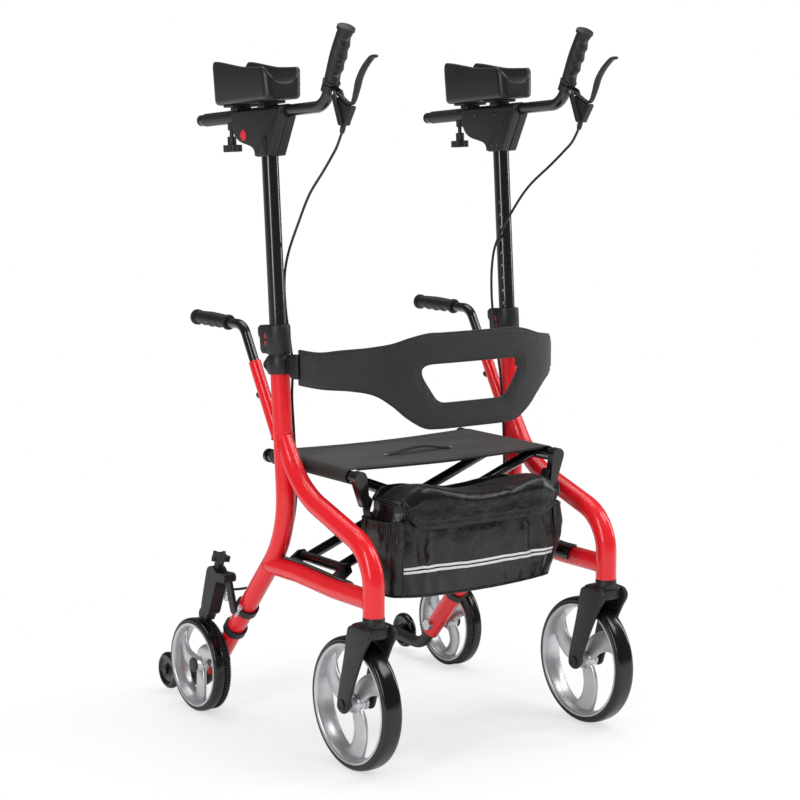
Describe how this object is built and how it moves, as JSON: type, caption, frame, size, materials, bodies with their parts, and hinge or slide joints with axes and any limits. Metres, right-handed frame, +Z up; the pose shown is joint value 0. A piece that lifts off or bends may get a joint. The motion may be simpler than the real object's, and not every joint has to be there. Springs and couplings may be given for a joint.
{
  "type": "upright walker",
  "caption": "Folding upright walker with red side frames, caster front wheels, height-adjustable forearm pads, hand brakes, sling seat, backrest strap and front bag.",
  "frame": {"origin": "the middle of the walker's box, on the floor", "axes": "+Z up, -Y to the front, +X to the walker's left"},
  "size_m": [0.658, 0.82, 1.3559],
  "materials": {
    "red_paint": "gloss red powder coat",
    "black_paint": "gloss black paint",
    "black_plastic": "satin moulded plastic",
    "steel": "zinc plated steel",
    "silver_rim": "satin silver",
    "tyre": "smooth black rubber",
    "pad_foam": "moulded foam skin",
    "grip_rubber": "soft rubber",
    "cable_sheath": "satin black sheath",
    "woven_seat": "coarse black weave",
    "backrest_cloth": "charcoal padded cloth",
    "bag_nylon": "black nylon with a sheen"
  },
  "bodies": {
    "right_frame": {"right_rear_leg": "red_paint", "right_front_leg": "red_paint", "right_fold_bracket": "black_paint", "right_post_collar": "black_plastic", "right_rear_axle": "steel", "right_anti_tip_arm": "black_plastic", "right_brake_mount": "black_plastic", "backrest": "backrest_cloth", "bag": "bag_nylon"},
    "left_frame": {"left_rear_leg": "red_paint", "left_front_leg": "red_paint", "left_fold_bracket": "black_paint", "left_post_collar": "black_plastic", "left_rear_axle": "steel", "left_anti_tip_arm": "black_plastic", "left_brake_mount": "black_plastic"},
    "cross_a": {"right_cross_frame": "black_paint", "seat_sling": "woven_seat"},
    "cross_b": {"left_cross_frame": "black_paint"},
    "bag_lid": {"bag_lid": "bag_nylon"},
    "right_post": {"right_post": "black_paint", "right_arm_bracket": "black_plastic", "right_forearm_pad": "pad_foam", "right_brake_cable": "cable_sheath"},
    "right_arm": {"right_arm_bar": "black_paint", "right_hand_grip": "grip_rubber", "right_brake_bracket": "black_plastic"},
    "right_push_handle": {"right_push_handle": "black_paint", "right_push_grip": "grip_rubber"},
    "right_front_wheel": {"right_front_rim": "silver_rim", "right_front_tyre": "tyre"},
    "right_rear_wheel": {"right_rear_rim": "silver_rim", "right_rear_tyre": "tyre"},
    "right_brake_lever": {"right_brake_lever": "black_plastic"},
    "right_clamp_knob": {"right_clamp_knob": "black_plastic"},
    "right_height_lever": {"right_height_lever": "black_plastic"},
    "right_caster_fork": {"right_caster_fork": "black_plastic"},
    "right_anti_tip_wheel": {"right_anti_tip_wheel": "tyre"},
    "right_brake_arm": {"right_brake_arm": "black_plastic"},
    "right_drag_knob": {"right_drag_knob": "black_plastic"},
    "left_post": {"left_post": "black_paint", "left_arm_bracket": "black_plastic", "left_forearm_pad": "pad_foam", "left_brake_cable": "cable_sheath"},
    "left_arm": {"left_arm_bar": "black_paint", "left_hand_grip": "grip_rubber", "left_brake_bracket": "black_plastic"},
    "left_push_handle": {"left_push_handle": "black_paint", "left_push_grip": "grip_rubber"},
    "left_front_wheel": {"left_front_rim": "silver_rim", "left_front_tyre": "tyre"},
    "left_rear_wheel": {"left_rear_rim": "silver_rim", "left_rear_tyre": "tyre"},
    "left_brake_lever": {"left_brake_lever": "black_plastic"},
    "left_clamp_knob": {"left_clamp_knob": "black_plastic"},
    "left_height_lever": {"left_height_lever": "black_plastic"},
    "left_caster_fork": {"left_caster_fork": "black_plastic"},
    "left_anti_tip_wheel": {"left_anti_tip_wheel": "tyre"},
    "left_brake_arm": {"left_brake_arm": "black_plastic"},
    "left_drag_knob": {"left_drag_knob": "black_plastic"}
  },
  "joints": [
    {"name": "fold", "type": "hinge", "parent": "right_frame", "child": "cross_a", "pos_m": [-0.232, -0.115, 0.352], "axis": [0, -1, 0], "range_deg": [0, 52], "deforming": ["seat_sling", "backrest", "bag", "bag_lid"]},
    {"name": "fold_cross", "type": "hinge", "parent": "cross_a", "child": "cross_b", "pos_m": [0, -0.115, 0.441], "axis": [0, -1, 0], "range_deg": [-104, 0]},
    {"name": "fold_left", "type": "hinge", "parent": "cross_b", "child": "left_frame", "pos_m": [0.232, -0.115, 0.352], "axis": [0, -1, 0], "range_deg": [0, 52]},
    {"name": "bag_lid", "type": "hinge", "parent": "right_frame", "child": "bag_lid", "pos_m": [0, -0.24, 0.5069], "axis": [-1, 0, 0], "range_deg": [0, 75]},
    {"name": "right_height", "type": "slide", "parent": "right_frame", "child": "right_post", "axis": [0, 0.0732, 0.9973], "range_m": [-0.2, 0], "deforming": ["right_brake_cable"]},
    {"name": "right_arm_reach", "type": "slide", "parent": "right_post", "child": "right_arm", "axis": [0, 0.9973, -0.0732], "range_m": [-0.05, 0.06]},
    {"name": "right_brake_squeeze", "type": "hinge", "parent": "right_arm", "child": "right_brake_lever", "pos_m": [-0.2725, -0.2286, 1.23117], "axis": [-1, 0, 0], "range_deg": [0, 28], "stiffness_Nm_per_rad": 1.5},
    {"name": "right_brake_press", "type": "hinge", "parent": "right_frame", "child": "right_brake_arm", "pos_m": [-0.302, 0.122, 0.287], "axis": [-1, 0, 0], "range_deg": [0, 1.5]},
    {"name": "right_reach_lock", "type": "hinge", "parent": "right_post", "child": "right_clamp_knob", "pos_m": [-0.2725, 0.1382, 1.13304], "axis": [0, 0.0732, 0.9973], "range_deg": [-180, 180]},
    {"name": "right_drag_set", "type": "hinge", "parent": "right_brake_arm", "child": "right_drag_knob", "pos_m": [-0.302, 0.165, 0.284], "axis": [0, -0.3451, 0.9386], "range_deg": [-180, 180]},
    {"name": "right_height_release", "type": "hinge", "parent": "right_frame", "child": "right_height_lever", "pos_m": [-0.2725, 0.00933, 0.78454], "axis": [1, 0, 0], "range_deg": [0, 25], "stiffness_Nm_per_rad": 0.2},
    {"name": "right_push_handle_height", "type": "slide", "parent": "right_frame", "child": "right_push_handle", "axis": [0, 0.515, 0.8572], "range_m": [-0.02, 0.05]},
    {"name": "right_swivel", "type": "hinge", "parent": "right_frame", "child": "right_caster_fork", "pos_m": [-0.2725, -0.342, 0.29], "axis": [0, 0, 1], "continuous": true},
    {"name": "right_front_spin", "type": "hinge", "parent": "right_caster_fork", "child": "right_front_wheel", "pos_m": [-0.2725, -0.285, 0.125], "axis": [1, 0, 0], "continuous": true},
    {"name": "right_rear_spin", "type": "hinge", "parent": "right_frame", "child": "right_rear_wheel", "pos_m": [-0.311, 0.22, 0.094], "axis": [1, 0, 0], "continuous": true},
    {"name": "right_tip_spin", "type": "hinge", "parent": "right_frame", "child": "right_anti_tip_wheel", "pos_m": [-0.297, 0.372, 0.045], "axis": [1, 0, 0], "continuous": true},
    {"name": "left_height", "type": "slide", "parent": "left_frame", "child": "left_post", "axis": [0, 0.0732, 0.9973], "range_m": [-0.2, 0], "deforming": ["left_brake_cable"]},
    {"name": "left_arm_reach", "type": "slide", "parent": "left_post", "child": "left_arm", "axis": [0, 0.9973, -0.0732], "range_m": [-0.05, 0.06]},
    {"name": "left_brake_squeeze", "type": "hinge", "parent": "left_arm", "child": "left_brake_lever", "pos_m": [0.2725, -0.2286, 1.23117], "axis": [-1, 0, 0], "range_deg": [0, 28], "stiffness_Nm_per_rad": 1.5},
    {"name": "left_brake_press", "type": "hinge", "parent": "left_frame", "child": "left_brake_arm", "pos_m": [0.302, 0.122, 0.287], "axis": [-1, 0, 0], "range_deg": [0, 1.5]},
    {"name": "left_reach_lock", "type": "hinge", "parent": "left_post", "child": "left_clamp_knob", "pos_m": [0.2725, 0.1382, 1.13304], "axis": [0, 0.0732, 0.9973], "range_deg": [-180, 180]},
    {"name": "left_drag_set", "type": "hinge", "parent": "left_brake_arm", "child": "left_drag_knob", "pos_m": [0.302, 0.165, 0.284], "axis": [0, -0.3451, 0.9386], "range_deg": [-180, 180]},
    {"name": "left_height_release", "type": "hinge", "parent": "left_frame", "child": "left_height_lever", "pos_m": [0.2725, 0.00933, 0.78454], "axis": [1, 0, 0], "range_deg": [0, 25], "stiffness_Nm_per_rad": 0.2},
    {"name": "left_push_handle_height", "type": "slide", "parent": "left_frame", "child": "left_push_handle", "axis": [0, 0.515, 0.8572], "range_m": [-0.02, 0.05]},
    {"name": "left_swivel", "type": "hinge", "parent": "left_frame", "child": "left_caster_fork", "pos_m": [0.2725, -0.342, 0.29], "axis": [0, 0, 1], "continuous": true},
    {"name": "left_front_spin", "type": "hinge", "parent": "left_caster_fork", "child": "left_front_wheel", "pos_m": [0.2725, -0.285, 0.125], "axis": [1, 0, 0], "continuous": true},
    {"name": "left_rear_spin", "type": "hinge", "parent": "left_frame", "child": "left_rear_wheel", "pos_m": [0.311, 0.22, 0.094], "axis": [1, 0, 0], "continuous": true},
    {"name": "left_tip_spin", "type": "hinge", "parent": "left_frame", "child": "left_anti_tip_wheel", "pos_m": [0.297, 0.372, 0.045], "axis": [1, 0, 0], "continuous": true}
  ],
  "couplings": [
    {"joint": "fold_cross", "follows": "fold", "ratio": -2},
    {"joint": "fold_left", "follows": "fold", "ratio": 1},
    {"joint": "right_brake_press", "follows": "right_brake_squeeze", "ratio": 0.05357},
    {"joint": "left_brake_press", "follows": "left_brake_squeeze", "ratio": 0.05357}
  ]
}
